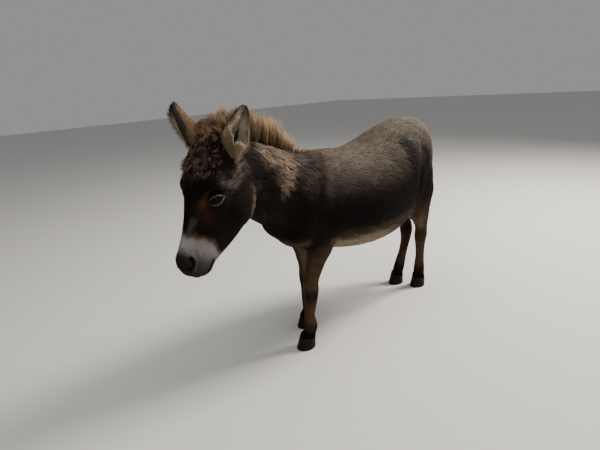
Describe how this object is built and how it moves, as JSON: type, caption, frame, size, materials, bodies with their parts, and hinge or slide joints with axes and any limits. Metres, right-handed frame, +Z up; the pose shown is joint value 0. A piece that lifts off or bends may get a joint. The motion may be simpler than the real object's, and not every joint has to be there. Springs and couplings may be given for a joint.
{
  "type": "donkey",
  "caption": "Life-size standing donkey, head lowered and turned to its left, ears splayed, on flat-soled hooves; a still display model.",
  "frame": {"origin": "floor level under the middle of the whole model", "axes": "+X to the donkey's left, +Y towards its tail, +Z up; the head faces -Y"},
  "size_m": [0.3858, 1.3946, 0.9895],
  "materials": {
    "dark_coat": "matte",
    "leg_coat": "matte",
    "ear_coat": "matte",
    "mane_hair": "matte",
    "tail_hair": "matte",
    "hoof_horn": "satin",
    "eye_ball": "gloss"
  },
  "bodies": {
    "root": {"ear_left": "ear_coat", "ear_right": "ear_coat", "eye_left": "eye_ball", "eye_right": "eye_ball", "foreleg_lower_left": "leg_coat", "foreleg_lower_right": "leg_coat", "foreleg_upper_left": "leg_coat", "foreleg_upper_right": "leg_coat", "head": "dark_coat", "hindleg_lower_left": "leg_coat", "hindleg_lower_right": "leg_coat", "hindleg_upper_left": "leg_coat", "hindleg_upper_right": "leg_coat", "hoof_fore_left": "hoof_horn", "hoof_fore_right": "hoof_horn", "hoof_hind_left": "hoof_horn", "hoof_hind_right": "hoof_horn", "mane": "mane_hair", "neck": "dark_coat", "tail": "tail_hair", "trunk": "dark_coat"}
  },
  "joints": []
}
